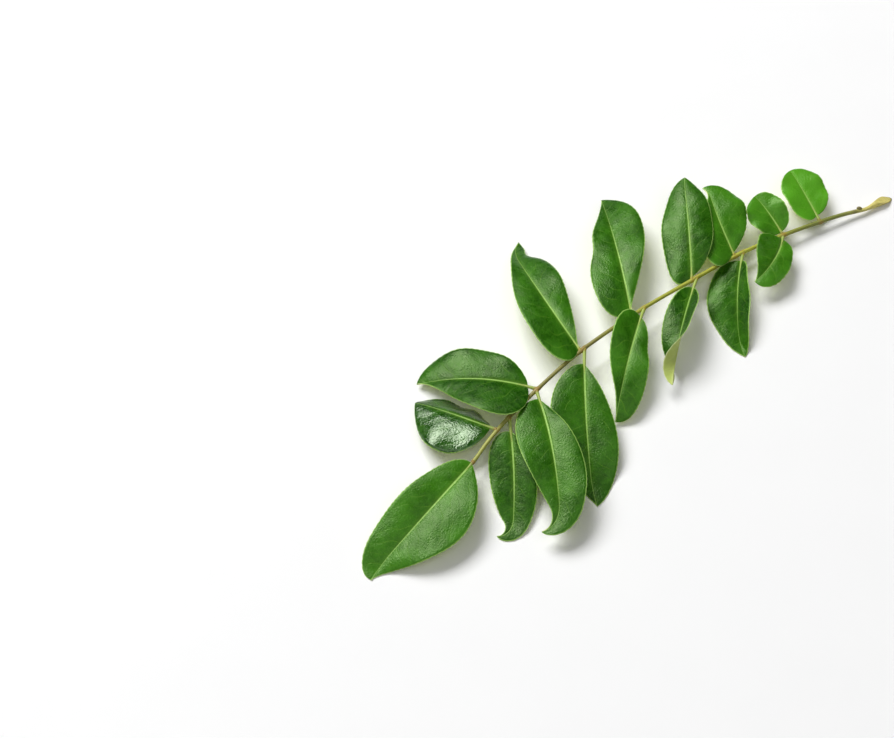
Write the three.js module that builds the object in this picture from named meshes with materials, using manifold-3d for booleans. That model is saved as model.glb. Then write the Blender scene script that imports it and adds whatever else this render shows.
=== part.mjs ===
// Curry leaf sprig: one compound leaf of the curry tree, cut off at its swollen base and lying on a table.
// Millimetres, +Z up, the table is z = 0. +X points from the end leaflet's tip to the swollen base.

import * as THREE from 'three';
import { mergeVertices } from 'three/addons/utils/BufferGeometryUtils.js';
import Module from 'manifold-3d';

const wasm = await Module();
wasm.setup();

// ---------- driving dimensions ----------

// Middle line of the leaf stalk, from the cut base to the end leaflet: x, y, z.
// The base lies on the table, and the stalk arches a few millimetres over it.
const STALK_POINTS = [
  [104.8, -20.5, 1.3], [96.5, -19.3, 1.5], [88.0, -16.3, 2.4], [79.0, -13.6, 3.2], [66.0, -10.3, 4.3],
  [50.0, -7.1, 5.5], [33.0, -5.3, 6.5], [12.0, -3.3, 7.4], [-11.5, -2.6, 8.0], [-30.0, -3.9, 7.6],
  [-45.0, -5.8, 7.0], [-52.5, -7.3, 6.5], [-60.0, -9.5, 6.0],
];
const STALK_RADIUS = { base: 0.66, end: 0.56 };
const SWELLING = { at: 0.5, reach: 4.8, extra: 0.92 }; // the swollen base, measured along the stalk
const SWELLING_LENGTH = 10;
const STALK_SIDES = 8;
const STALK_STEP = 4.2; // between the stalk's rings
const SWELLING_STEP = 1.1; // and over the swollen base

// The short stem that carries each leaflet.
const STEM_RADIUS = { start: 0.56, end: 0.44 };
const STEM_SIDES = 6;
const STEM_RINGS = 3;
const STEM_SUNK = 0.9; // how far a stem runs on into its blade

const BLADE_THICKNESS = 0.7;
const BLADE_STATIONS = 15; // steps from a blade's base to its tip
const BLADE_COLUMNS = 3; // steps from the midrib to each margin
const MIDRIB_STEPS = 60; // steps that the midrib's curve is added up in
const NARROWEST_HALF = 0.45; // half width at the very base and tip
// The margin's gentle waves: their height, their number along a blade, and the shift between leaflets.
const WAVE = { height: 0.5, count: 2.2, shift: 0.37 };
const HOOK_START = 0.75; // a tip that turns aside starts to turn here
const WAIST_REACH = 0.09; // the share of the midrib's length over which a waist narrows a blade
const TABLE_LEVEL = 0.28; // lowest middle surface of a blade that is pressed on the table
const TABLE_SOFTNESS = 0.5; // how gently a blade bends where it meets the table

// What a leaflet has where its own row doesn't say otherwise. Lengths are in mm and angles in degrees.
// An innerFull of 0 means as full as the outer half.
const USUAL = {
  stem: 1.2, bend: 0, hook: 0, lobe: 0, innerLobe: 0, wide: 0.32, innerWide: 0.48, full: 0.65, innerFull: 0,
  waist: 0, waistAt: 0.5, innerWaist: 0, innerWaistAt: 0.5, twist: 0, fold: 14, cup: -14,
};

// One row a leaflet, from the base to the end leaflet:
// at is the distance along the stalk, side is 1 on the stalk's +Y side and -1 on its -Y side,
// heading is the way the midrib sets out, bend its turn along its length and hook the turn of its tip,
// outer is the half width towards the end leaflet and inner the one towards the base,
// lobe is how far the outer half reaches back past the stem, wide is where along the blade it is widest,
// full is how slowly it widens from the base, and waist the share by which it is narrower at waistAt,
// rise and droop give the slope of the midrib, roll lifts the left half, twist adds to it towards the tip,
// fold lifts both halves and cup bends them from midrib to margin.
const LEAFLETS = [
  { at: 25.8, side: 1, stem: 2.4, heading: 73, hook: 8, length: 17.6, outer: 7.4, inner: 7.4, lobe: 5.5,
    wide: 0.47, innerWide: 0.52, full: 0.5, rise: 12, droop: 10, roll: 4 },
  { at: 39.6, side: 1, heading: 80, bend: 2, hook: 10, length: 14.4, outer: 7.2, inner: 5.7, lobe: 1.5,
    wide: 0.5, innerWide: 0.5, full: 0.5, rise: 20, droop: 20, roll: -10, fold: 18, cup: -10 },
  { at: 39.5, side: -1, stem: 2.3, heading: -145, bend: -34, hook: -6, length: 19.4, outer: 7.8, inner: 5.7,
    lobe: 1, wide: 0.3, innerWide: 0.6, full: 0.55, rise: 14, droop: 26, roll: -14, fold: 16 },
  { at: 58, side: 1, heading: 75, bend: -20, hook: 38, length: 25, outer: 8.8, inner: 9.5, lobe: 8.8,
    wide: 0.22, innerWide: 0.55, full: 0.6, innerFull: 0.8, rise: 24, droop: 36, roll: 1, fold: 12,
    cup: -21 },
  { at: 54.8, side: -1, stem: 3.2, heading: -143, bend: 20, hook: 8, length: 32.8, outer: 9.3, inner: 5.6,
    lobe: 2, innerLobe: 3, wide: 0.39, innerWide: 0.5, full: 0.6, rise: -8, droop: 8, roll: 33, fold: 36,
    cup: -24 },
  { at: 75, side: 1, heading: 50, bend: 1, hook: -8, length: 35.6, outer: 8.6, inner: 7.6, lobe: 12,
    wide: 0.42, innerWide: 0.5, full: 0.52, innerFull: 0.75, rise: 19, droop: 26, roll: -10, fold: 0,
    cup: -18 },
  { at: 73, side: -1, stem: 4.2, heading: -149.5, bend: 9, hook: 4, length: 34.5, outer: 6, inner: 6.2,
    lobe: 3, wide: 0.4, innerWide: 0.48, rise: 1, droop: 9, roll: 25, twist: 150, fold: 30, cup: 0 },
  { at: 98.5, side: 1, heading: 57, bend: 2, length: 46, outer: 10, inner: 9.9, lobe: 8.5, wide: 0.32,
    innerWide: 0.68, full: 0.62, innerFull: 1.3, waist: 0.13, waistAt: 0.53, rise: 8, droop: 26, roll: -4,
    cup: -18 },
  { at: 93.5, side: -1, stem: 4.2, heading: -149, bend: 7, hook: 2, length: 34.8, outer: 7, inner: 6.7,
    lobe: 7, wide: 0.28, innerWide: 0.62, full: 0.7, waist: 0.15, waistAt: 0.78, innerWaist: 0.1,
    innerWaistAt: 0.3, rise: 7, droop: 37, roll: -8, fold: 16, cup: -12 },
  { at: 119, side: 1, heading: 81, bend: -14, hook: -46, length: 50, outer: 10.1, inner: 8.4, lobe: 12,
    wide: 0.28, innerWide: 0.58, innerFull: 1.1, innerWaist: 0.45, innerWaistAt: 0.85, rise: 6.5,
    droop: 33.5, roll: 5 },
  { at: 117.5, side: -1, stem: 5.2, heading: -132, bend: 8, hook: 7, length: 45, outer: 10.4, inner: 8.8,
    lobe: 2, wide: 0.37, innerWide: 0.56, full: 0.65, innerFull: 0.95, rise: -6, droop: 13, roll: 2,
    cup: -18 },
  { at: 137.5, side: 1, stem: 3, heading: 125, bend: 14, hook: -6, length: 34, outer: 13.4, inner: 10.5,
    lobe: 6, wide: 0.28, innerWide: 0.52, rise: 5, droop: 32, roll: 6, fold: 16, cup: -16 },
  { at: 138, side: -1, stem: 3.4, heading: -117, bend: -14, hook: -80, length: 44.8, outer: 9.6, inner: 8.6,
    lobe: 3, wide: 0.31, innerWide: 0.57, full: 0.72, innerFull: 1.05, rise: 8, droop: 26, roll: 5 },
  { at: 155.5, side: 1, stem: 2.2, heading: 114, bend: -4, hook: 6, length: 25.2, outer: 13.4, inner: 8,
    lobe: 2, wide: 0.43, innerWide: 0.58, rise: -3, droop: 17, roll: 20, fold: -4, cup: -30 },
  { at: 150, side: -1, stem: 4.6, heading: -125, bend: -12, hook: -90, length: 34.5, outer: 7.3, inner: 6.7,
    lobe: 4, wide: 0.34, innerWide: 0.5, innerFull: 0.8, rise: -10, droop: 8, roll: 8, fold: 12, cup: -18 },
  { at: 168, side: -1, stem: 0.8, heading: -169, bend: -6, hook: 18, length: 45.4, outer: 9.4, inner: 13,
    lobe: 1, wide: 0.51, innerWide: 0.43, full: 0.52, innerFull: 1, rise: 2, droop: 23, roll: 0, fold: 13,
    cup: -12 },
].map((row) => ({ ...USUAL, ...row }));

const LEAF_GREEN = 0x2f6b1a;

// ---------- solids ----------

const radians = THREE.MathUtils.degToRad;
const UP = new THREE.Vector3(0, 0, 1);

function solidOf(positions, triangles) {
  const geometry = new THREE.BufferGeometry();
  geometry.setAttribute('position', new THREE.Float32BufferAttribute(positions, 3));
  geometry.setIndex(triangles);
  const merged = mergeVertices(geometry);
  return new wasm.Manifold(new wasm.Mesh({
    numProp: 3,
    vertProperties: new Float32Array(merged.attributes.position.array),
    triVerts: new Uint32Array(merged.index.array),
  }));
}

function geometryOf(solid) {
  const mesh = solid.getMesh();
  const geometry = new THREE.BufferGeometry();
  geometry.setAttribute('position', new THREE.Float32BufferAttribute(mesh.vertProperties, 3));
  geometry.setIndex(Array.from(mesh.triVerts));
  geometry.computeVertexNormals();
  return geometry;
}

// The two triangles of the flat or nearly flat quad a, b, c, d.
function pushQuad(triangles, a, b, c, d) {
  triangles.push(a, b, c, a, c, d);
}

// A closed round bar through rings of { centre, forward, radius }, which never dips below the table.
function barSolid(rings, sides) {
  const positions = [];
  const triangles = [];
  for (const { centre, forward, radius } of rings) {
    const left = new THREE.Vector3().crossVectors(UP, forward).normalize();
    const up = new THREE.Vector3().crossVectors(forward, left).normalize();
    for (let i = 0; i < sides; i += 1) {
      const angle = (2 * Math.PI * (i + 0.5)) / sides;
      const point = centre.clone()
        .addScaledVector(left, radius * Math.cos(angle))
        .addScaledVector(up, radius * Math.sin(angle));
      positions.push(point.x, point.y, Math.max(point.z, 0));
    }
  }
  const last = (rings.length - 1) * sides;
  for (let ring = 0; ring < last; ring += sides) {
    for (let i = 0; i < sides; i += 1) {
      const next = (i + 1) % sides;
      pushQuad(triangles, ring + i, ring + next, ring + sides + next, ring + sides + i);
    }
  }
  for (let i = 1; i < sides - 1; i += 1) {
    triangles.push(0, i + 1, i);
    triangles.push(last, last + i, last + i + 1);
  }
  return solidOf(positions, triangles);
}

// ---------- the stalk ----------

const stalkCurve = new THREE.CatmullRomCurve3(
  STALK_POINTS.map((point) => new THREE.Vector3(...point)), false, 'catmullrom', 0.5,
);
const stalkLength = stalkCurve.getLength();

function stalkRadius(distance) {
  const plain = THREE.MathUtils.lerp(STALK_RADIUS.base, STALK_RADIUS.end, distance / stalkLength);
  const away = (distance - SWELLING.at) / SWELLING.reach;
  return plain + SWELLING.extra * Math.exp(-away * away);
}

function stalkSolid() {
  const rings = [];
  let distance = 0;
  while (distance < stalkLength - SWELLING_STEP) {
    rings.push(distance);
    distance += distance < SWELLING_LENGTH ? SWELLING_STEP : STALK_STEP;
  }
  rings.push(stalkLength);
  return barSolid(rings.map((ring) => ({
    centre: stalkCurve.getPointAt(ring / stalkLength),
    forward: stalkCurve.getTangentAt(ring / stalkLength),
    radius: stalkRadius(ring),
  })), STALK_SIDES);
}

// ---------- the leaflets ----------

function stemLine(leaf) {
  const start = stalkCurve.getPointAt(Math.min(leaf.at / stalkLength, 1));
  const { forward } = directionsAt(leaf, 0);
  return { start, forward, end: start.clone().addScaledVector(forward, leaf.stem) };
}

function stemSolid(leaf) {
  const { start, forward } = stemLine(leaf);
  const length = leaf.stem + STEM_SUNK;
  const rings = [];
  for (let i = 0; i < STEM_RINGS; i += 1) {
    const share = i / (STEM_RINGS - 1);
    rings.push({
      centre: start.clone().addScaledVector(forward, length * share),
      forward,
      radius: THREE.MathUtils.lerp(STEM_RADIUS.start, STEM_RADIUS.end, share),
    });
  }
  return barSolid(rings, STEM_SIDES);
}

// Directions along the midrib, to its left and out of the upper side, at the share u of its length.
function directionsAt(leaf, u) {
  const turned = Math.max(0, (u - HOOK_START) / (1 - HOOK_START)) ** 1.5;
  const heading = radians(leaf.heading + leaf.bend * u + leaf.hook * turned);
  const slope = radians(leaf.rise - leaf.droop * u);
  const forward = new THREE.Vector3(
    Math.cos(slope) * Math.cos(heading), Math.cos(slope) * Math.sin(heading), Math.sin(slope),
  );
  const left = new THREE.Vector3(-Math.sin(heading), Math.cos(heading), 0);
  return { forward, left, up: new THREE.Vector3().crossVectors(forward, left) };
}

// Points of the midrib at every share i / MIDRIB_STEPS of its length.
function midribPoints(leaf) {
  const points = [stemLine(leaf).end];
  for (let i = 0; i < MIDRIB_STEPS; i += 1) {
    const { forward } = directionsAt(leaf, (i + 0.5) / MIDRIB_STEPS);
    points.push(points[i].clone().addScaledVector(forward, leaf.length / MIDRIB_STEPS));
  }
  return points;
}

// Half width at the share u: round at the base, widest at the share wide, and narrower at its waist.
function halfWidth(leaf, u, outer) {
  const wide = outer ? leaf.wide : leaf.innerWide;
  const full = (!outer && leaf.innerFull) || leaf.full;
  const waist = outer ? leaf.waist : leaf.innerWaist;
  const away = (u - (outer ? leaf.waistAt : leaf.innerWaistAt)) / WAIST_REACH;
  const shape = (u / wide) ** full * ((1 - u) / (1 - wide)) ** ((full * (1 - wide)) / wide);
  const half = shape * (outer ? leaf.outer : leaf.inner) * (1 - waist * Math.exp(-away * away));
  return Math.max(half, NARROWEST_HALF);
}

// A blade bends softly to lie on the table instead of passing through it.
function settled(z) {
  const above = z - TABLE_LEVEL;
  return TABLE_LEVEL + (above + Math.hypot(above, TABLE_SOFTNESS)) / 2;
}

// Middle surface of a blade: u runs from base to tip, and v from -1 at the right margin to 1 at the left.
function bladePoint(leaf, number, points, u, v) {
  const step = Math.min(Math.floor(u * MIDRIB_STEPS), MIDRIB_STEPS - 1);
  const point = points[step].clone().lerp(points[step + 1], u * MIDRIB_STEPS - step);
  const { forward, left, up } = directionsAt(leaf, u);
  const handed = v < 0 ? -1 : 1;
  const outer = handed === leaf.side;
  const across = Math.abs(v);
  const half = halfWidth(leaf, u, outer);
  const start = radians(leaf.fold + handed * (leaf.roll + leaf.twist * u ** 3));
  const cup = radians(leaf.cup) || 1e-6;
  const wave = WAVE.height * across ** 2 * Math.sqrt(Math.sin(Math.PI * u))
    * Math.sin(2 * Math.PI * (WAVE.count * u + WAVE.shift * number + handed / 4));
  const slope = start + cup * across;
  const sideways = (half * (Math.sin(slope) - Math.sin(start))) / cup - wave * Math.sin(slope);
  const upwards = (half * (Math.cos(start) - Math.cos(slope))) / cup + wave * Math.cos(slope);
  const lobe = outer ? leaf.lobe : leaf.innerLobe;
  const back = (lobe * across * half * (1 - u) ** 3) / (outer ? leaf.outer : leaf.inner);
  const level = new THREE.Vector3(forward.x, forward.y, 0);
  point.addScaledVector(left, handed * sideways).addScaledVector(up, upwards).addScaledVector(level, -back);
  point.z = settled(point.z);
  return point;
}

// Stations lie closer together at the rounded base and at the tip.
function stationShare(i) {
  const even = i / BLADE_STATIONS;
  return 0.4 * even + 0.6 * (0.5 - 0.5 * Math.cos(Math.PI * even));
}

function bladeGrid(leaf, number) {
  const points = midribPoints(leaf);
  const grid = [];
  for (let i = 0; i <= BLADE_STATIONS; i += 1) {
    const row = [];
    for (let j = -BLADE_COLUMNS; j <= BLADE_COLUMNS; j += 1) {
      row.push(bladePoint(leaf, number, points, stationShare(i), j / BLADE_COLUMNS));
    }
    grid.push(row);
  }
  return grid;
}

function gridNormal(grid, i, j) {
  const clamp = (index, count) => Math.min(Math.max(index, 0), count - 1);
  const rows = grid.length;
  const columns = grid[0].length;
  const along = grid[clamp(i + 1, rows)][j].clone().sub(grid[clamp(i - 1, rows)][j]);
  const across = grid[i][clamp(j + 1, columns)].clone().sub(grid[i][clamp(j - 1, columns)]);
  return along.cross(across).normalize();
}

// A blade is its middle surface thickened both ways, with both faces split into triangles alike.
function bladeSolid(leaf, number) {
  const grid = bladeGrid(leaf, number);
  const rows = grid.length;
  const columns = grid[0].length;
  const positions = [];
  for (const face of [1, -1]) {
    for (let i = 0; i < rows; i += 1) {
      for (let j = 0; j < columns; j += 1) {
        const offset = gridNormal(grid, i, j).multiplyScalar((face * BLADE_THICKNESS) / 2);
        const point = grid[i][j].clone().add(offset);
        positions.push(point.x, point.y, Math.max(point.z, 0));
      }
    }
  }
  const top = (i, j) => i * columns + j;
  const bottom = (i, j) => (rows + i) * columns + j;
  const tip = rows - 1;
  const margin = columns - 1;
  const triangles = [];
  for (let i = 0; i < tip; i += 1) {
    for (let j = 0; j < margin; j += 1) {
      pushQuad(triangles, top(i, j), top(i + 1, j), top(i + 1, j + 1), top(i, j + 1));
      pushQuad(triangles, bottom(i, j), bottom(i, j + 1), bottom(i + 1, j + 1), bottom(i + 1, j));
    }
    pushQuad(triangles, top(i, 0), bottom(i, 0), bottom(i + 1, 0), top(i + 1, 0));
    pushQuad(triangles, top(i, margin), top(i + 1, margin), bottom(i + 1, margin), bottom(i, margin));
  }
  for (let j = 0; j < margin; j += 1) {
    pushQuad(triangles, top(0, j), top(0, j + 1), bottom(0, j + 1), bottom(0, j));
    pushQuad(triangles, top(tip, j), bottom(tip, j), bottom(tip, j + 1), top(tip, j + 1));
  }
  return solidOf(positions, triangles);
}

// ---------- the sprig ----------

function sprigSolid() {
  let whole = stalkSolid();
  LEAFLETS.forEach((leaf, number) => {
    whole = whole.add(stemSolid(leaf)).add(bladeSolid(leaf, number));
  });
  return whole;
}

const sprig = new THREE.Mesh(
  geometryOf(sprigSolid()),
  new THREE.MeshStandardMaterial({ color: LEAF_GREEN, roughness: 0.45, metalness: 0 }),
);
sprig.name = 'curry_leaf_sprig';

const part = new THREE.Group();
part.add(sprig);

export default part;
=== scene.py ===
"""Curry leaf sprig: one compound leaf of the curry tree, cut at its swollen base, lying on a pale table.

The stalk and the leaflets follow the same rules and named values as the part's solids, in the same frame,
with fine faces, veins, uneven margins and surface detail added. Lengths are in millimetres up to the point
where a mesh is made, and angles are in degrees.
"""
import math

import bpy
import numpy as np
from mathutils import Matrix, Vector


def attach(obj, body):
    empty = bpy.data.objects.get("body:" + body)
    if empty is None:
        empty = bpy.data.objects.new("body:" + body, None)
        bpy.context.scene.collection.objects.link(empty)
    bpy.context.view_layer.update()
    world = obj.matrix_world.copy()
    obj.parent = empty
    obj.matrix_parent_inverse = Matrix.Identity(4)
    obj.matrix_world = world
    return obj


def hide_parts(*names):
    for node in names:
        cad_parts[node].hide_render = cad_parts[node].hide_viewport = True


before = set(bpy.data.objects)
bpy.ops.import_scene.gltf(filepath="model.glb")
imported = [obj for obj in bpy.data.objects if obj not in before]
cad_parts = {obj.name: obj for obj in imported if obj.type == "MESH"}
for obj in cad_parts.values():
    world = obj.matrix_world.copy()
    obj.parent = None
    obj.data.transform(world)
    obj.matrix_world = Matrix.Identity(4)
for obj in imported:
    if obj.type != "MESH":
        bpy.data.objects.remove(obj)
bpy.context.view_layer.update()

NODE = "curry_leaf_sprig"
METRES = 0.001

# ---------- driving dimensions, as in the part ----------

# The stalk's middle line, from its cut base to the end leaflet.
STALK_POINTS = np.array([
    [104.8, -20.5, 1.3], [96.5, -19.3, 1.5], [88.0, -16.3, 2.4], [79.0, -13.6, 3.2], [66.0, -10.3, 4.3],
    [50.0, -7.1, 5.5], [33.0, -5.3, 6.5], [12.0, -3.3, 7.4], [-11.5, -2.6, 8.0], [-30.0, -3.9, 7.6],
    [-45.0, -5.8, 7.0], [-52.5, -7.3, 6.5], [-60.0, -9.5, 6.0],
])
STALK_RADIUS_BASE = 0.66
STALK_RADIUS_END = 0.56
SWELLING_AT = 0.5           # where the base is thickest, from the first point
SWELLING_REACH = 4.8
SWELLING_EXTRA = 0.92       # of its radius over the stalk's
STEM_RADIUS_START = 0.56
STEM_RADIUS_END = 0.44
WAVE_HEIGHT = 0.5           # of the slow waves that grow towards a blade's margin
WAVE_COUNT = 2.2
WAVE_SHIFT = 0.37           # from one leaflet to the next, in waves
HOOK_START = 0.75           # share of the midrib beyond which its hook bends it
WAIST_REACH = 0.09          # of a waist to either side, as a share of the midrib
TABLE_SOFTNESS = 0.5        # how gently a blade bends where it would meet the table

# What a leaflet has where its own row doesn't say otherwise. An inner_full of 0 means as full as the outer
# half.
USUAL = dict(
    stem=1.2, bend=0, hook=0, lobe=0, inner_lobe=0, wide=0.32, inner_wide=0.48, full=0.65, inner_full=0,
    waist=0, waist_at=0.5, inner_waist=0, inner_waist_at=0.5, twist=0, fold=14, cup=-14,
)

# One row a leaflet, from the base to the end leaflet:
# at is the distance along the stalk, side is 1 on the stalk's +Y side and -1 on its -Y side,
# heading is the way the midrib sets out, bend its turn along its length and hook the turn of its tip,
# outer is the half width towards the end leaflet and inner the one towards the base,
# lobe is how far the outer half reaches back past the stem, wide is where along the blade it is widest,
# full is how slowly it widens from the base, and waist the share by which it is narrower at waist_at,
# rise and droop give the slope of the midrib, roll lifts the left half, twist adds to it towards the tip,
# fold lifts both halves, cup bends them from midrib to margin,
# and tone runs from 0, an old dark leaflet, to 1, a young yellow-green one; besides age it holds painted
# light and shade, raised on a leaflet as if light fell full on it and lowered as if it lay in shade.
LEAFLET_ROWS = [
    dict(at=25.8, side=1, stem=2.4, heading=73, hook=8, length=17.6, outer=7.4, inner=7.4, lobe=5.5,
         wide=0.47, inner_wide=0.52, full=0.5, rise=12, droop=10, roll=4, age_and_painted_light=0.92),
    dict(at=39.6, side=1, heading=80, bend=2, hook=10, length=14.4, outer=7.2, inner=5.7, lobe=1.5,
         wide=0.5, inner_wide=0.5, full=0.5, rise=20, droop=20, roll=-10, fold=18, cup=-10, age_and_painted_light=0.5),
    dict(at=39.5, side=-1, stem=2.3, heading=-145, bend=-34, hook=-6, length=19.4, outer=7.8, inner=5.7,
         lobe=1, wide=0.3, inner_wide=0.6, full=0.55, rise=14, droop=26, roll=-14, fold=16, age_and_painted_light=0.36),
    dict(at=58, side=1, heading=75, bend=-20, hook=38, length=25, outer=8.8, inner=9.5, lobe=8.8,
         wide=0.22, inner_wide=0.55, full=0.6, inner_full=0.8, rise=24, droop=36, roll=1, fold=12,
         cup=-21, age_and_painted_light=0.4),
    dict(at=54.8, side=-1, stem=3.2, heading=-143, bend=20, hook=8, length=32.8, outer=9.3, inner=5.6,
         lobe=2, inner_lobe=3, wide=0.39, inner_wide=0.5, full=0.6, rise=-8, droop=8, roll=33, fold=36,
         cup=-24, age_and_painted_light=0.12),
    dict(at=75, side=1, heading=50, bend=1, hook=-8, length=35.6, outer=8.6, inner=7.6, lobe=12,
         wide=0.42, inner_wide=0.5, full=0.52, inner_full=0.75, rise=19, droop=26, roll=-10, fold=0,
         cup=-18, age_and_painted_light=0.12),
    dict(at=73, side=-1, stem=4.2, heading=-149.5, bend=9, hook=4, length=34.5, outer=6, inner=6.2,
         lobe=3, wide=0.4, inner_wide=0.48, rise=1, droop=9, roll=25, twist=150, fold=30, cup=0,
         age_and_painted_light=0.04),
    dict(at=98.5, side=1, heading=57, bend=2, length=46, outer=10, inner=9.9, lobe=8.5, wide=0.32,
         inner_wide=0.68, full=0.62, inner_full=1.3, waist=0.13, waist_at=0.53, rise=8, droop=26, roll=-4,
         cup=-18, age_and_painted_light=0.18),
    dict(at=93.5, side=-1, stem=4.2, heading=-149, bend=7, hook=2, length=34.8, outer=7, inner=6.7,
         lobe=7, wide=0.28, inner_wide=0.62, full=0.7, waist=0.15, waist_at=0.78, inner_waist=0.1,
         inner_waist_at=0.3, rise=7, droop=37, roll=-8, fold=16, cup=-12, age_and_painted_light=0.24),
    dict(at=119, side=1, heading=81, bend=-14, hook=-46, length=50, outer=10.1, inner=8.4, lobe=12,
         wide=0.28, inner_wide=0.58, inner_full=1.1, inner_waist=0.45, inner_waist_at=0.85, rise=6.5,
         droop=33.5, roll=5, age_and_painted_light=0.2),
    dict(at=117.5, side=-1, stem=5.2, heading=-132, bend=8, hook=7, length=45, outer=10.4, inner=8.8,
         lobe=2, wide=0.37, inner_wide=0.56, full=0.65, inner_full=0.95, rise=-6, droop=13, roll=2,
         cup=-18, age_and_painted_light=0.1),
    dict(at=137.5, side=1, stem=3, heading=125, bend=14, hook=-6, length=34, outer=13.4, inner=10.5,
         lobe=6, wide=0.28, inner_wide=0.52, rise=5, droop=32, roll=6, fold=16, cup=-16, age_and_painted_light=0.06),
    dict(at=138, side=-1, stem=3.4, heading=-117, bend=-14, hook=-80, length=44.8, outer=9.6, inner=8.6,
         lobe=3, wide=0.31, inner_wide=0.57, full=0.72, inner_full=1.05, rise=8, droop=26, roll=5,
         age_and_painted_light=0.2),
    dict(at=155.5, side=1, stem=2.2, heading=114, bend=-4, hook=6, length=25.2, outer=13.4, inner=8,
         lobe=2, wide=0.43, inner_wide=0.58, rise=-3, droop=17, roll=20, fold=-4, cup=-30, age_and_painted_light=0.0),
    dict(at=150, side=-1, stem=4.6, heading=-125, bend=-12, hook=-90, length=34.5, outer=7.3, inner=6.7,
         lobe=4, wide=0.34, inner_wide=0.5, inner_full=0.8, rise=-10, droop=8, roll=8, fold=12, cup=-18,
         age_and_painted_light=0.05),
    dict(at=168, side=-1, stem=0.8, heading=-169, bend=-6, hook=18, length=45.4, outer=9.4, inner=13,
         lobe=1, wide=0.51, inner_wide=0.43, full=0.52, inner_full=1, rise=2, droop=23, roll=0, fold=13,
         cup=-12, age_and_painted_light=0.27),
]
LEAFLETS = [{**USUAL, **row} for row in LEAFLET_ROWS]

# ---------- finer dimensions of the looks ----------

SEED = 7
STALK_SIDES = 24
STALK_STEP = 0.45
STALK_RIBS = 5              # faint ones, round the stalk
STALK_RIB_HEIGHT = 0.025    # as a share of its radius
NODE_EXTRA = 0.16           # how much the stalk swells where a leaflet joins it
NODE_REACH = 1.3
CUT_LENGTH = 7.0            # of the slanting cut across the stalk's base end, along the stalk
CUT_BEYOND = 1.5            # how far its tip stands out beyond the stalk's first point
CUT_SIDE = 95.0             # the side that it faces: 0 is the stalk's left and 90 its top
CUT_REACH = 12.0            # how far along the stalk the slant dies away
CUT_RINGS = (0.25, 0.8)     # of points on the cut face, as shares of its size
CUT_TEETH = ((0.1, 3, 1.0), (0.07, 7, 0.0))     # height, number and shift of the rim's uneven waves
CUT_STAIN = 0.4             # how brown the cut's rim is, from 0 to 1
CUT_STAIN_REACH = 0.35
SCAR_AT = 13.4              # brownish ring on the stalk, from its base
SCAR_REACH = 1.3
SCAR_STAIN = 0.55
BUD_AT = 11.0               # along the stalk from its base
BUD_OFFSET = (0.6, 0.0, 0.2)
BUD_DIRECTION = (-0.8, 0.6, 0.4)
BUD_LENGTH = 2.0
BUD_RADIUS = 0.62
BUD_RINGS = 9
BUD_BLUNTNESS = 0.02
STEM_SIDES = 16
STEM_RINGS = 14
STEM_RUNS_ON = 3.4          # how far a stem tapers along its blade's midrib
STEM_TAPER = 0.8            # the share of its radius that it loses there
STEM_SWELLING = 0.12        # of its radius where it leaves the stalk
STEM_SWELLING_REACH = 1.1
STEM_JOINT_REACH = 1.5      # of the joint's brown along the stem
STEM_PALE_FROM = 0.5        # where along the stem its pale green sets in
STEM_PALE_OVER = 1.2        # the length over which it does
STEM_COLOUR_AT = 0.75       # a stem has the stalk's colour from this share of the way to its joint

BLADE_THICKNESS = 0.3
MARGIN_THINNING = 0.45      # the share of its thickness that a blade loses at its margin
RIM_BULGE = 0.06            # how far the rounded rim stands out
BLADE_STATIONS = 108
BLADE_COLUMNS = 20          # from the midrib to each margin
MIDRIB_STEPS = 240
NARROWEST_HALF = 0.14
TABLE_LEVEL = 0.16          # the lowest that a blade's middle surface comes
GROOVE_DEPTH = 0.17         # of the midrib's groove in the upper side
GROOVE_REACH = 0.5
RIDGE_HEIGHT = 0.09         # of the fine ridge in the groove
RIDGE_REACH = 0.17
KEEL_HEIGHT = 0.32          # of the midrib underneath
KEEL_REACH = 0.36
MIDRIB_FADE = 0.75          # the share of groove, ridge and keel that is lost at the tip
VEIN_SPACING = 4.4          # between side veins, along the midrib
VEIN_SWEEP = 0.7            # how far a side vein runs forward for each millimetre outward
VEIN_CURVE = 0.035
QUILT_HEIGHT = 0.045        # how far the blade bulges between its side veins
SCALLOP_LENGTH = 1.7        # of the margin's small rounded teeth
SCALLOP_DEPTH = 0.12
UNEVEN_HEIGHT = 0.11        # slow, irregular unevenness of the blade

# ---------- colours ----------

# An old blade, a young blade, the veins, and the midrib with the thin margin, whose pale line is partly the
# margin's own paler green and partly a painted highlight on the edge.
UPPER_GREENS = ((18, 66, 0), (88, 164, 34), (120, 170, 50), (160, 202, 102))
# The underside's greens: its own paler green, made paler still by painted light on an underside that the
# lamps leave in shade.
UNDER_GREENS_WITH_PAINTED_LIGHT = ((186, 204, 104), (208, 218, 124), (220, 228, 150), (226, 234, 170))
WHITE = (1.0, 1.0, 1.0, 1.0)
SHEEN_TINT = (0.72, 1.0, 0.46, 1.0)
WAXY_TINT = (0.85, 1.0, 0.75, 1.0)
WAXY_LEAFLET = 14           # the only one that shines almost white, counted from the base

BASE_STRAW = (226, 212, 120)
# Each takes over between two shares of the stalk's length, and how fully it does so comes third.
STALK_COLOURS = [
    (0.02, 0.12, 1.0, (130, 138, 62)),
    (0.16, 0.3, 1.0, (178, 182, 62)),
    (0.5, 0.7, 0.75, (124, 112, 68)),
    (0.87, 0.95, 0.85, (184, 188, 92)),
]
STREAK_OLIVE = (112, 122, 52)
JOINT_BROWN = (168, 122, 52)
SCAR_BROWN = (104, 96, 62)
STEM_GREEN = (166, 192, 92)

# ---------- patterns of the materials ----------

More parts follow.
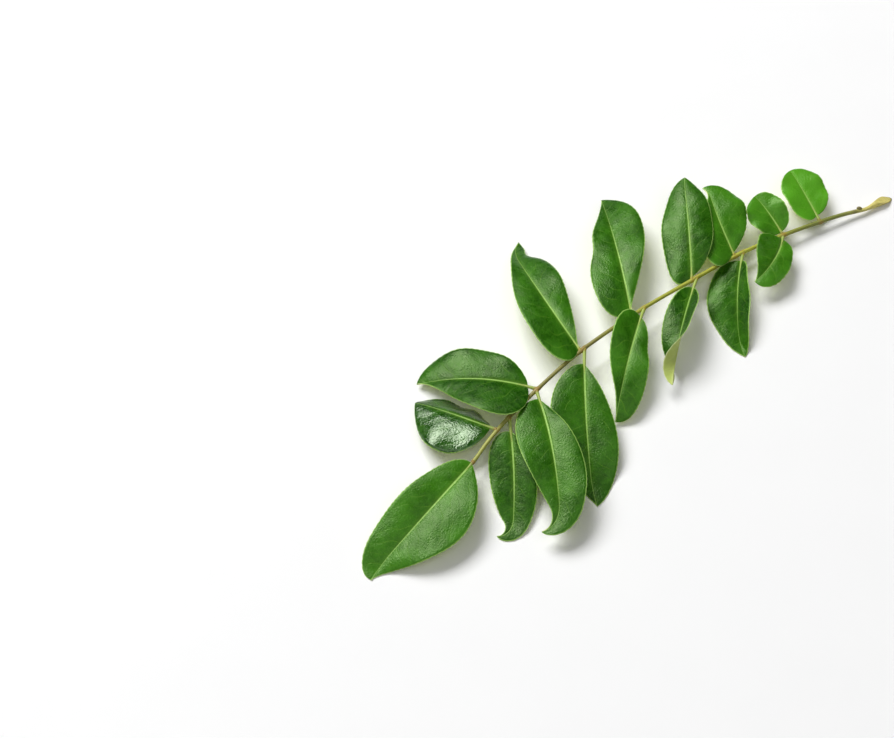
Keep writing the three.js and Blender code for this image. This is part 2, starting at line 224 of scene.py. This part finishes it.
CLOUD_SIZE = 9.0            # of slow changes of a blade's green
CLOUD_STRENGTH = 0.13
MOTTLE_SIZE = 1.5           # of small yellower spots
MOTTLE_STRENGTH = 0.16
DULL_SIZE = 3.0             # of duller stretches of a blade
DULL_STRENGTH = 0.12
GRAIN_SIZE = 0.5
PIT_SIZE = 0.9
PATTERN_STEP = 40.0         # keeps the patterns of two leaflets apart
STEM_PATTERN_STEP = 7.0
VEIN_HALF_WIDTH = 0.26
VEIN_CLEAR = 2.5            # from the margin, where a side vein shows fully
NET_SIZE = 1.1              # of the meshes of the smallest veins
NET_STRENGTH = 0.2          # beside the side veins' 1
RIB_HALF_WIDTH_START = 0.34
RIB_HALF_WIDTH_END = 0.14
# The pale margin line is partly the margin's own paler green and partly a painted highlight where the edge
# catches light.
MARGIN_PALE_AND_HIGHLIGHT = 0.32          # width of the pale line along the margin
STREAK_SIZE = 0.28
STREAK_SQUEEZE = 0.12       # along the stalk, which draws the streaks out

# ---------- the photo's view, and the room ----------

VIEW_TARGET = (-43.0, 22.2, 0.0)
VIEW_AZIMUTH = -40.5
VIEW_ELEVATION = 58.0
VIEW_DISTANCE = 559.0
LENS = 75.0
SENSOR = 36.0
FLOOR_REACH = 3000.0
FLOOR_DROP = 0.03           # keeps the floor clear of faces that lie at height 0
FLOOR_GREYS = ((250, 250, 250), (253, 253, 253))
FLOOR_GRAIN = 0.02          # in metres
WORLD_STRENGTH = 0.03
LIGHT_DISTANCE = 2400.0

rng = np.random.default_rng(SEED)


# ---------- meshes ----------

class Patch:
    """A stretch of a piece's mesh: its points, its faces, the number of each face's material, and the
    vectors that the material's nodes read, by name, one for each point."""

    def __init__(self, points, faces, numbers, **vectors):
        self.points = points
        self.faces = faces
        self.numbers = numbers
        self.vectors = vectors


def make_piece(name, patches, materials):
    """One mesh object of all the patches, which rides on the sprig's body and stands for its solid."""
    faces = []
    numbers = []
    start = 0
    for patch in patches:
        faces += [[start + corner for corner in face] for face in patch.faces]
        numbers += patch.numbers
        start += len(patch.points)
    mesh = bpy.data.meshes.new(name)
    points = np.vstack([patch.points for patch in patches]) * METRES
    mesh.from_pydata(points.tolist(), [], faces)
    for material in materials:
        mesh.materials.append(material)
    mesh.polygons.foreach_set("material_index", numbers)
    mesh.polygons.foreach_set("use_smooth", [True] * len(faces))
    for key in sorted({key for patch in patches for key in patch.vectors}):
        vectors = [patch.vectors.get(key, np.zeros((len(patch.points), 3))) for patch in patches]
        layer = mesh.attributes.new(key, "FLOAT_VECTOR", "POINT")
        layer.data.foreach_set("vector", np.vstack(vectors).ravel())
    mesh.update()
    piece = add_object(name, mesh)
    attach(piece, "root")
    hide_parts(NODE)
    return piece


def add_object(name, data):
    made = bpy.data.objects.new(name, data)
    bpy.context.scene.collection.objects.link(made)
    return made


def unit(vectors):
    return vectors / np.maximum(np.linalg.norm(vectors, axis=-1, keepdims=True), 1e-9)


def vectors_of(*columns):
    """Vectors from columns of numbers, each repeated to the shape of them all."""
    return np.stack(np.broadcast_arrays(*columns), -1)


def bell(places, middle, reach):
    """1 at the middle, falling smoothly to almost nothing at twice the reach."""
    return np.exp(-(((places - middle) / reach) ** 2))


def points_on(line, known_places, places):
    """Points at the given places on a line whose own points are at the known places."""
    return np.stack([np.interp(places, known_places, line[:, axis]) for axis in range(3)], -1)


def ring_angles(sides):
    return 2 * np.pi * np.arange(sides) / sides


def tube_points(centres, radii, sides):
    """Rings of points round a line. radii is one row for each ring; angle 0 is on the line's left."""
    forward = unit(np.gradient(centres, axis=0))
    left = unit(np.cross([0.0, 0.0, 1.0], forward))
    up = np.cross(forward, left)
    angle = ring_angles(sides)[None, :, None]
    ring = np.cos(angle) * left[:, None, :] + np.sin(angle) * up[:, None, :]
    return centres[:, None, :] + radii[:, :, None] * ring


def tube_faces(rings, sides):
    """Faces of a tube's sides and of its two flat ends."""
    faces = []
    for ring in range(rings - 1):
        for i in range(sides):
            a = ring * sides + i
            b = ring * sides + (i + 1) % sides
            faces.append([a, b, b + sides, a + sides])
    faces.append(list(range(sides))[::-1])
    faces.append([(rings - 1) * sides + i for i in range(sides)])
    return faces


def tube_patch(rings, number, sheet, look):
    """A closed tube through rings of points, with one material, whose number is given."""
    count, sides = rings.shape[:2]
    faces = tube_faces(count, sides)
    vectors = dict(sheet=sheet.reshape(-1, 3), look=look.reshape(-1, 3))
    return Patch(rings.reshape(-1, 3), faces, [number] * len(faces), **vectors)


# ---------- the stalk ----------

# The look of the stalk, the bud and the stems holds three values: a share of the stalk's length, which gives
# the colour, 1 at a joint, and a mark that runs from -1, a stem's pale green, to 1, the brown of the bud.

def stalk_line(steps=40):
    """Points close together along the stalk's middle line, and their distances from its first point."""
    first = 2 * STALK_POINTS[0] - STALK_POINTS[1]
    last = 2 * STALK_POINTS[-1] - STALK_POINTS[-2]
    padded = np.vstack([first, STALK_POINTS, last])
    t = np.linspace(0, 1, steps, endpoint=False)[:, None]
    spans = []
    for a, b, c, d in zip(padded, padded[1:], padded[2:], padded[3:]):
        straight = (c - a) * t
        square = (2 * a - 5 * b + 4 * c - d) * t**2
        cube = (3 * b - a - 3 * c + d) * t**3
        spans.append(0.5 * (2 * b + straight + square + cube))
    line = np.vstack(spans + [STALK_POINTS[-1:]])
    gaps = np.linalg.norm(np.diff(line, axis=0), axis=1)
    return line, np.concatenate([[0.0], np.cumsum(gaps)])


STALK_LINE, STALK_DISTANCES = stalk_line()
STALK_LENGTH = STALK_DISTANCES[-1]


def stalk_at(distance):
    return points_on(STALK_LINE, STALK_DISTANCES, distance)


def bud_patch():
    """The small dark bud that sits on the stalk near its base."""
    share = np.linspace(0, 1, BUD_RINGS)[:, None]
    radii = BUD_RADIUS * np.sqrt(np.maximum(1 - (2 * share - 1) ** 2, BUD_BLUNTNESS))
    start = stalk_at(BUD_AT) + np.array(BUD_OFFSET)
    centres = start + share * BUD_LENGTH * unit(np.array(BUD_DIRECTION))
    rings = tube_points(centres, np.repeat(radii, STEM_SIDES, axis=1), STEM_SIDES)
    look = np.full(rings.shape, [0.0, 0.0, 1.0])
    return tube_patch(rings, 0, rings, look)


def stalk_radii(distance, angle):
    """The stalk tapers, swells towards its base and is faintly ribbed."""
    radii = STALK_RADIUS_BASE + (STALK_RADIUS_END - STALK_RADIUS_BASE) * distance / STALK_LENGTH
    radii = radii + SWELLING_EXTRA * bell(distance, SWELLING_AT, SWELLING_REACH)
    return radii * (1 + STALK_RIB_HEIGHT * np.cos(STALK_RIBS * angle))


def joints_at(distance, angle):
    """Near 1 at a leaflet's joint, on the side across from the leaflet, and 0 away from the joints."""
    joints = np.zeros(np.broadcast_shapes(distance.shape, angle.shape))
    for leaf in LEAFLETS:
        joints += bell(distance, leaf["at"], NODE_REACH) * (0.5 + 0.5 * leaf["side"] * np.cos(angle))
    return joints


def stalk_patch():
    """The stalk with its slanting, slightly ragged cut. slant is how far a point is moved along for it."""
    distance = np.linspace(0, STALK_LENGTH, int(STALK_LENGTH / STALK_STEP))[:, None]
    angle = ring_angles(STALK_SIDES)[None, :]
    ragged = sum(height * np.sin(count * angle + shift) for height, count, shift in CUT_TEETH)
    cut = CUT_LENGTH * (0.5 + 0.5 * np.cos(angle - math.radians(CUT_SIDE))) - CUT_BEYOND + ragged
    slant = cut * np.clip(1 - distance / CUT_REACH, 0, 1)
    joints = joints_at(distance, angle)
    radii = stalk_radii(distance + slant, angle) + NODE_EXTRA * joints
    rings = tube_points(stalk_at(distance[:, 0]), radii, STALK_SIDES)
    rings = rings + unit(stalk_at(1.0) - stalk_at(0.0)) * slant[..., None]
    rings[:, :, 2] = np.maximum(rings[:, :, 2], 0.0)
    mark = SCAR_STAIN * bell(distance, SCAR_AT, SCAR_REACH)
    mark = mark + CUT_STAIN * bell(distance, 0, CUT_STAIN_REACH)
    sheet = vectors_of(0.5 * angle, distance, 0.0)
    look = vectors_of(distance / STALK_LENGTH, joints, mark)
    middle = rings[0].mean(axis=0)
    face = np.array([middle + share * (rings[0] - middle) for share in CUT_RINGS])
    rings = np.concatenate([face, rings])
    sheet = np.concatenate([face, sheet])
    look = np.concatenate([np.zeros_like(face), look])
    return tube_patch(rings, 0, sheet, look)


# ---------- the leaflets ----------

# The order of a leaflet's materials.
UPPER_FACE, UNDER_FACE, STEM_FACE = range(3)


def directions_at(leaf, u):
    """Directions along the midrib, to its left and out of the upper side, at the shares u of its length."""
    turned = np.maximum(0, (u - HOOK_START) / (1 - HOOK_START)) ** 1.5
    heading = np.radians(leaf["heading"] + leaf["bend"] * u + leaf["hook"] * turned)
    slope = np.radians(leaf["rise"] - leaf["droop"] * u)
    forward = np.stack([np.cos(slope) * np.cos(heading), np.cos(slope) * np.sin(heading), np.sin(slope)], -1)
    left = np.stack([-np.sin(heading), np.cos(heading), np.zeros_like(heading)], -1)
    return forward, left, np.cross(forward, left)


def stem_ends(leaf):
    start = stalk_at(min(leaf["at"], STALK_LENGTH))
    forward = directions_at(leaf, np.array(0.0))[0]
    return start, start + forward * leaf["stem"]


def midrib_at(leaf, u):
    """Points of the midrib at the shares u of its length."""
    middles = (np.arange(MIDRIB_STEPS) + 0.5) / MIDRIB_STEPS
    steps = directions_at(leaf, middles)[0] * leaf["length"] / MIDRIB_STEPS
    start = stem_ends(leaf)[1]
    line = np.vstack([start, start + np.cumsum(steps, axis=0)])
    return points_on(line, np.linspace(0, 1, MIDRIB_STEPS + 1), u)


def half_width(leaf, u, outer):
    """Half width at the shares u: round at the base, widest at the share wide, and narrower at its waist."""
    kind = "" if outer else "inner_"
    wide = leaf[kind + "wide"]
    full = leaf[kind + "full"] or leaf["full"]
    shape = (u / wide) ** full * ((1 - u) / (1 - wide)) ** (full * (1 - wide) / wide)
    shape = shape * (1 - leaf[kind + "waist"] * bell(u, leaf[kind + "waist_at"], WAIST_REACH))
    return np.maximum(shape * (leaf["outer"] if outer else leaf["inner"]), NARROWEST_HALF)


def scalloped(half, along, across, shift):
    """The half width with the margin's small rounded teeth, which fade towards the midrib."""
    scallops = np.abs(np.sin(np.pi * along / SCALLOP_LENGTH + shift[0] + np.sin(along / 3 + shift[1])))
    scallops = scallops * np.clip(half / 3, 0, 1)
    return half + SCALLOP_DEPTH * (scallops - 0.6) * across**4


def margin_wave(u, across, start):
    """Slow waves along the blade, highest at the margin and halfway to the tip."""
    height = WAVE_HEIGHT * across**2 * np.sqrt(np.maximum(np.sin(np.pi * u), 0))
    return height * np.sin(2 * np.pi * (WAVE_COUNT * u + start))


def vein_phase(along, out, handed, shift):
    """Counts side veins towards the tip, whole on each one. Those of the two halves alternate."""
    phase = (along - VEIN_SWEEP * out - VEIN_CURVE * out**2) / VEIN_SPACING
    phase = phase + 0.16 * np.sin(along / 2.9 + shift[2]) + 0.1 * np.sin(along / 1.3 + out / 2 + shift[5])
    return phase + (0.5 if handed > 0 else 0.0)


def quilting(phase, out, margin):
    """Soft bulges between the side veins."""
    return QUILT_HEIGHT * np.sin(np.pi * phase) ** 2 * np.clip(out / 1.5, 0, 1) * np.clip(margin / 2, 0, 1)


def unevenness(along, out, shift):
    uneven = np.sin(along / 3.1 + out / 2.3 + shift[3]) * np.sin(out / 2.7 - along / 4.9 + shift[4])
    return UNEVEN_HEIGHT * uneven * np.clip(out / 2.5, 0, 1)


def settled(z):
    """A blade bends softly to lie on the table instead of passing through it."""
    above = z - TABLE_LEVEL
    return TABLE_LEVEL + (above + np.hypot(above, TABLE_SOFTNESS)) / 2


def blade_half(leaf, number, handed, u, across):
    """Middle surface of a blade's left half (handed 1) or right half (-1), and its nodes' vectors.
    u holds shares of the midrib's length, and across shares of the way from the midrib to the margin."""
    outer = handed == leaf["side"]
    forward, left, up = (side[:, None, :] for side in directions_at(leaf, u))
    centres = midrib_at(leaf, u)[:, None, :]
    u = u[:, None]
    across = across[None, :]
    shift = rng.uniform(0, 2 * np.pi, 6)
    along = u * leaf["length"]
    plain_half = half_width(leaf, u, outer)
    half = scalloped(plain_half, along, across, shift)
    out = across * half
    margin = (1 - across) * half
    phase = vein_phase(along, out, handed, shift)
    wave = margin_wave(u, across, WAVE_SHIFT * number + handed / 4)
    lift = wave + quilting(phase, out, margin) + unevenness(along, out, shift)

    # Each station is an arc that leaves the midrib at the angle start and turns by cup.
    start = np.radians(leaf["fold"] + handed * (leaf["roll"] + leaf["twist"] * u**3))
    cup = math.radians(leaf["cup"]) or 1e-6
    slope = start + cup * across
    sideways = half * (np.sin(slope) - np.sin(start)) / cup - lift * np.sin(slope)
    upwards = half * (np.cos(start) - np.cos(slope)) / cup + lift * np.cos(slope)
    lobe = leaf["lobe"] if outer else leaf["inner_lobe"]
    back = lobe * across * plain_half * (1 - u) ** 3 / (leaf["outer"] if outer else leaf["inner"])
    level = forward * [1, 1, 0]
    points = centres + left * (handed * sideways)[..., None] + up * upwards[..., None]
    points = points - level * back[..., None]
    points[:, :, 2] = settled(points[:, :, 2])
    # The look carries the tone, which holds painted light and shade besides the leaflet's age.
    return points, dict(
        sheet=vectors_of(handed * out, along, PATTERN_STEP * number),
        lines=vectors_of(phase, out, margin),
        look=vectors_of(u, leaf["age_and_painted_light"], out / plain_half),
    )


def side_by_side(right, left):
    """One grid of both halves, which share the midrib's column."""
    return np.concatenate([right[:, :0:-1], left], axis=1)


def blade_middle(leaf, number):
    """The whole blade's middle surface, and its nodes' vectors. Its points are closer near the ends."""
    even = np.linspace(0, 1, BLADE_STATIONS + 1)
    u = 0.5 * even + 0.25 * (1 - np.cos(np.pi * even))
    even = np.linspace(0, 1, BLADE_COLUMNS + 1)
    across = 0.75 * even**1.5 + 0.25 * even**3
    right, right_vectors = blade_half(leaf, number, -1, u, across)
    left, left_vectors = blade_half(leaf, number, 1, u, across)
    vectors = {key: side_by_side(right_vectors[key], left_vectors[key]) for key in left_vectors}
    return side_by_side(right, left), vectors


def perimeter(rows, columns):
    """The numbers of a grid's edge points, once round."""
    grid = np.arange(rows * columns).reshape(rows, columns)
    return np.concatenate([grid[0, :-1], grid[:-1, -1], grid[-1, :0:-1], grid[:0:-1, 0]])


def blade_faces(rows, columns, loop):
    """Faces of both sides, each with its half of the rim. The points are the grid of the upper side, the grid
    of the underside and the rim, which follows the loop of edge points."""
    count = rows * columns
    upper = []
    under = []
    for i in range(rows - 1):
        for j in range(columns - 1):
            a = i * columns + j
            quad = [a, a + columns, a + columns + 1, a + 1]
            upper.append(quad)
            under.append([count + corner for corner in quad[::-1]])
    for k, here in enumerate(loop):
        follow = (k + 1) % len(loop)
        there = loop[follow]
        upper.append([here, there, 2 * count + follow, 2 * count + k])
        under.append([2 * count + k, 2 * count + follow, count + there, count + here])
    return upper, under


def blade_patch(leaf, number):
    """The blade's upper side, its underside and its rounded rim."""
    middle, vectors = blade_middle(leaf, number)
    rows, columns = middle.shape[:2]
    normal = unit(np.cross(np.gradient(middle, axis=0), -np.gradient(middle, axis=1)))
    normal *= np.sign(normal[rows // 2, columns // 2] @ directions_at(leaf, np.array(0.5))[2])
    out = vectors["lines"][..., 1:2]
    share = vectors["look"][..., 0:1]
    edge = vectors["look"][..., 2:3]
    thick = 0.5 * BLADE_THICKNESS * (1 - MARGIN_THINNING * edge**6)
    groove = RIDGE_HEIGHT * bell(out, 0, RIDGE_REACH) - GROOVE_DEPTH * bell(out, 0, GROOVE_REACH)
    keel = KEEL_HEIGHT * bell(out, 0, KEEL_REACH)
    fade = 1 - MIDRIB_FADE * share
    top = middle + normal * (thick + fade * groove)
    bottom = middle - normal * (thick + fade * keel)
    loop = perimeter(rows, columns)
    inner = np.clip(loop % columns, 1, columns - 2) + columns * np.clip(loop // columns, 1, rows - 2)
    middle = middle.reshape(-1, 3)
    rim = middle[loop] + RIM_BULGE * unit(middle[loop] - middle[inner])
    points = np.vstack([top.reshape(-1, 3), bottom.reshape(-1, 3), rim])
    points[:, 2] = np.maximum(points[:, 2], 0.0)
    flat = {key: value.reshape(-1, 3) for key, value in vectors.items()}
    vectors = {key: np.vstack([value, value, value[loop]]) for key, value in flat.items()}
    upper, under = blade_faces(rows, columns, loop.tolist())
    return Patch(points, upper + under, [UPPER_FACE] * len(upper) + [UNDER_FACE] * len(under), **vectors)


def stem_patch(leaf):
    """The leaflet's short stem, from inside the stalk to where it tapers into the midrib."""
    start, end = stem_ends(leaf)
    distance = np.linspace(0, leaf["stem"] + STEM_RUNS_ON, STEM_RINGS)
    beyond = np.clip(distance - leaf["stem"], 0, STEM_RUNS_ON)
    centres = midrib_at(leaf, beyond / leaf["length"])
    before = distance < leaf["stem"]
    centres[before] = start + (end - start) * (distance[before] / leaf["stem"])[:, None]
    narrowing = STEM_RADIUS_START + (STEM_RADIUS_END - STEM_RADIUS_START) * distance / leaf["stem"]
    tapering = STEM_RADIUS_END * (1 - STEM_TAPER * beyond / STEM_RUNS_ON)
    swelling = STEM_SWELLING * bell(distance, 0, STEM_SWELLING_REACH)
    radius = np.where(beyond > 0, tapering, narrowing) + swelling
    rings = tube_points(centres, np.repeat(radius[:, None], STEM_SIDES, axis=1), STEM_SIDES)
    angle = ring_angles(STEM_SIDES)[None, :]
    distance = distance[:, None]
    sheet = vectors_of(0.45 * angle, distance, STEM_PATTERN_STEP * leaf["at"])
    along = np.full_like(angle, STEM_COLOUR_AT * leaf["at"] / STALK_LENGTH)
    pale = np.clip((distance - STEM_PALE_FROM) / STEM_PALE_OVER, 0, 1)
    look = vectors_of(along, bell(distance, 0, STEM_JOINT_REACH), -pale)
    return tube_patch(rings, STEM_FACE, sheet, look)


# ---------- materials ----------

def srgb(red, green, blue):
    """A colour given as on a screen, from 0 to 255, as the renderer's own numbers."""
    shares = [value / 255 for value in (red, green, blue)]
    linear = [share / 12.92 if share <= 0.04045 else ((share + 0.055) / 1.055) ** 2.4 for share in shares]
    return (*linear, 1.0)


class Finish:
    """A material and short ways to add nodes to it. Sizes are in the unit of the vectors that they are
    used with: mm on the sprig and metres on the floor."""

    def __init__(self, name):
        self.material = bpy.data.materials.new(name)
        self.material.use_nodes = True
        self.tree = self.material.node_tree
        self.shader = self.tree.nodes["Principled BSDF"]

    def put(self, socket, value):
        if isinstance(value, bpy.types.NodeSocket):
            self.tree.links.new(value, socket)
        else:
            socket.default_value = value

    def node(self, kind, inputs, **settings):
        made = self.tree.nodes.new(kind)
        for key, value in settings.items():
            setattr(made, key, value)
        for key, value in inputs.items():
            self.put(made.inputs[key], value)
        return made

    def vector(self, name):
        return self.node("ShaderNodeAttribute", {}, attribute_name=name).outputs["Vector"]

    def split(self, name):
        return self.node("ShaderNodeSeparateXYZ", {0: self.vector(name)}).outputs

    def math(self, operation, a, b):
        return self.node("ShaderNodeMath", {0: a, 1: b}, operation=operation).outputs[0]

    def times(self, a, b):
        return self.math("MULTIPLY", a, b)

    def plus(self, a, b):
        return self.math("ADD", a, b)

    def ease(self, value, low, high, start=0.0, end=1.0):
        """Goes smoothly from start to end as the value goes from low to high."""
        inputs = {"Value": value, "From Min": low, "From Max": high, "To Min": start, "To Max": end}
        return self.node("ShaderNodeMapRange", inputs, interpolation_type="SMOOTHSTEP").outputs[0]

    def mix(self, share, a, b):
        made = self.node("ShaderNodeMix", {}, data_type="RGBA")
        self.put(made.inputs[0], share)
        self.put(made.inputs[6], a)
        self.put(made.inputs[7], b)
        return made.outputs[2]

    def noise(self, where, size, detail=2.0, roughness=0.5):
        inputs = {"Vector": where, "Scale": 1 / size, "Detail": detail, "Roughness": roughness}
        return self.node("ShaderNodeTexNoise", inputs).outputs[0]

    def cells(self, where, size):
        """Distance to the nearest border of irregular cells, in cell sizes."""
        inputs = {"Vector": where, "Scale": 1 / size}
        return self.node("ShaderNodeTexVoronoi", inputs, feature="DISTANCE_TO_EDGE").outputs[0]

    def bump(self, height):
        made = self.node("ShaderNodeBump", {"Height": height, "Distance": METRES, "Strength": 1.0})
        self.put(self.shader.inputs["Normal"], made.outputs[0])

    def finish(self, colour, roughness, **constants):
        self.put(self.shader.inputs["Base Color"], colour)
        self.put(self.shader.inputs["Roughness"], roughness)
        for key, value in constants.items():
            self.shader.inputs[key.replace("_", " ")].default_value = value
        return self.material


def vein_lines(f, sheet, phase, margin):
    """1 on a side vein, fainter on the net of small veins and 0 between them."""
    side = f.times(f.math("PINGPONG", phase, 0.5), VEIN_SPACING)
    vein = f.times(f.ease(side, 0.04, VEIN_HALF_WIDTH, 1.0, 0.0), f.ease(margin, 0.2, VEIN_CLEAR))
    vein = f.times(vein, f.ease(f.noise(sheet, 5.0, 2.0), 0.35, 0.62, 0.1, 1.0))
    net = f.ease(f.cells(sheet, NET_SIZE), 0.0, 0.12, 1.0, 0.0)
    return f.math("MAXIMUM", vein, f.times(net, NET_STRENGTH))


def blade_finish(name, greens, rough, shine, tint, vein_share, grain):
    """One side of a blade: green that varies slowly, with painted light and shade in each leaflet's tone,
    veins, a pale midrib and a thin pale margin that is partly a painted highlight.
    """
    old, young, vein_colour, rib_colour = [srgb(*green) for green in greens]
    f = Finish(name)
    sheet = f.vector("sheet")
    phase, midrib, margin = f.split("lines")
    along, age_and_painted_light, _ = f.split("look")

    cloud = f.ease(f.noise(sheet, CLOUD_SIZE, 3.0), 0.3, 0.7, -CLOUD_STRENGTH, CLOUD_STRENGTH)
    mottle = f.ease(f.noise(sheet, MOTTLE_SIZE, 4.0, 0.6), 0.35, 0.75, 0.0, MOTTLE_STRENGTH)
    # The tone mixes old and young green; besides age it paints light and shade over the whole leaflet.
    colour = f.mix(f.plus(age_and_painted_light, cloud), old, young)
    colour = f.mix(mottle, colour, young)

    near_rib = f.times(f.ease(midrib, 0.0, 1.6, 1.0, 0.0), f.ease(along, 0.0, 1.0, 0.3, 0.05))
    lines = vein_lines(f, sheet, phase, margin)
    colour = f.mix(near_rib, colour, vein_colour)
    colour = f.mix(f.times(lines, vein_share), colour, vein_colour)

    rib_width = f.ease(along, 0.0, 1.0, RIB_HALF_WIDTH_START, RIB_HALF_WIDTH_END)
    rib = f.ease(f.math("DIVIDE", midrib, rib_width), 0.5, 1.15, 1.0, 0.0)
    rib = f.times(rib, f.ease(along, 0.2, 1.0, 0.88, 0.4))
    # Pale margin line: partly the margin's own paler green, partly a painted highlight where the edge catches
    # light.
    edge = f.ease(margin, 0.06, MARGIN_PALE_AND_HIGHLIGHT, 0.9, 0.0)
    colour = f.mix(rib, colour, rib_colour)
    colour = f.mix(edge, colour, rib_colour)

    dull = f.ease(f.noise(sheet, DULL_SIZE, 3.0), 0.3, 0.7, rough, rough + DULL_STRENGTH)
    roughness = f.plus(dull, f.times(lines, 0.08))
    fine = f.times(f.noise(sheet, GRAIN_SIZE, 3.0, 0.65), grain)
    pits = f.times(f.ease(f.cells(sheet, PIT_SIZE), 0.0, 0.35), 0.5 * grain)
    f.bump(f.plus(f.plus(fine, pits), f.times(lines, -0.02)))
    return f.finish(colour, roughness, Specular_IOR_Level=shine, Specular_Tint=tint)


def stalk_finish():
    """Yellow-green stalk with a straw-coloured base, streaks, brownish joints and pale stems."""
    f = Finish("curry_leaf_stalk")
    sheet = f.vector("sheet")
    along, joint, mark = f.split("look")
    colour = srgb(*BASE_STRAW)
    for low, high, share, new in STALK_COLOURS:
        colour = f.mix(f.ease(along, low, high, 0.0, share), colour, srgb(*new))
    squeeze = (1.0, STREAK_SQUEEZE, 1.0)
    squeezed = f.node("ShaderNodeVectorMath", {0: sheet, 1: squeeze}, operation="MULTIPLY").outputs[0]
    streak = f.noise(squeezed, STREAK_SIZE, 3.0, 0.6)
    colour = f.mix(f.ease(streak, 0.35, 0.7, 0.0, 0.34), colour, srgb(*STREAK_OLIVE))
    colour = f.mix(f.ease(joint, 0.25, 0.95, 0.0, 0.5), colour, srgb(*JOINT_BROWN))
    colour = f.mix(f.ease(mark, 0.1, 0.9, 0.0, 0.85), colour, srgb(*SCAR_BROWN))
    colour = f.mix(f.ease(mark, -1.0, 0.0, 0.8, 0.0), colour, srgb(*STEM_GREEN))
    f.bump(f.plus(f.times(streak, 0.05), f.times(f.noise(sheet, 0.3, 3.0), 0.03)))
    return f.finish(colour, f.ease(streak, 0.3, 0.7, 0.42, 0.58))


def floor_finish():
    f = Finish("pale_table")
    where = f.node("ShaderNodeTexCoord", {}).outputs["Object"]
    darker, lighter = [srgb(*grey) for grey in FLOOR_GREYS]
    colour = f.mix(f.noise(where, FLOOR_GRAIN, 3.0), darker, lighter)
    return f.finish(colour, 0.7)


# ---------- the studio ----------

def aim(made, target, azimuth, elevation, distance):
    """Puts a camera or light away from its target. At azimuth 0 it looks along +Y, with +X to its right."""
    a = math.radians(azimuth)
    e = math.radians(elevation)
    towards = Vector((math.sin(a) * math.cos(e), -math.cos(a) * math.cos(e), math.sin(e)))
    made.location = (Vector(target) + towards * distance) * METRES
    made.rotation_euler = towards.to_track_quat("Z", "Y").to_euler()


def add_camera():
    camera = add_object("camera", bpy.data.cameras.new("camera"))
    camera.data.lens = LENS
    camera.data.sensor_width = SENSOR
    aim(camera, VIEW_TARGET, VIEW_AZIMUTH, VIEW_ELEVATION, VIEW_DISTANCE)
    bpy.context.scene.camera = camera


def add_softbox(name, azimuth, elevation, width, height, watts):
    """azimuth is counted from the viewer's own: 0 is behind the viewer, 90 to the right, 180 opposite."""
    light = add_object(name, bpy.data.lights.new(name, "AREA"))
    light.data.shape = "RECTANGLE"
    light.data.size = width * METRES
    light.data.size_y = height * METRES
    light.data.energy = watts
    aim(light, (0, 0, 0), VIEW_AZIMUTH + azimuth, elevation, LIGHT_DISTANCE)


def add_floor():
    floor = add_object("floor", bpy.data.meshes.new("floor"))
    reach = FLOOR_REACH * METRES
    corners = [(-reach, -reach, 0), (reach, -reach, 0), (reach, reach, 0), (-reach, reach, 0)]
    floor.data.from_pydata(corners, [], [[0, 1, 2, 3]])
    floor.data.materials.append(floor_finish())
    floor.location.z = -FLOOR_DROP * METRES


def add_world():
    world = bpy.data.worlds.new("studio")
    world.use_nodes = True
    background = world.node_tree.nodes["Background"]
    background.inputs["Color"].default_value = WHITE
    background.inputs["Strength"].default_value = WORLD_STRENGTH
    bpy.context.scene.world = world


add_camera()
add_floor()
add_world()
add_softbox("window", azimuth=-140, elevation=50, width=1700, height=1100, watts=61)
add_softbox("front_left", azimuth=-50, elevation=60, width=2000, height=1600, watts=8)
add_softbox("front_right", azimuth=40, elevation=64, width=2000, height=1600, watts=11)
bpy.context.scene.view_settings.view_transform = "Standard"


# ---------- the sprig ----------

UPPER = blade_finish("curry_leaf_upper", UPPER_GREENS, rough=0.25, shine=0.38, tint=SHEEN_TINT,
                     vein_share=0.24, grain=0.05)
WAXY = blade_finish("curry_leaf_upper_waxy", UPPER_GREENS, rough=0.13, shine=1.0, tint=WAXY_TINT,
                    vein_share=0.24, grain=0.05)
# The underside's colours hold painted light besides its own paler green.
UNDER = blade_finish("curry_leaf_under", UNDER_GREENS_WITH_PAINTED_LIGHT, rough=0.55, shine=0.3, tint=WHITE,
                     vein_share=0.3, grain=0.03)
STALK = stalk_finish()

make_piece("stalk", [stalk_patch(), bud_patch()], [STALK])
for number, leaf in enumerate(LEAFLETS):
    upper = WAXY if number + 1 == WAXY_LEAFLET else UPPER
    patches = [blade_patch(leaf, number), stem_patch(leaf)]
    make_piece(f"leaflet_{number + 1:02d}", patches, [upper, UNDER, STALK])
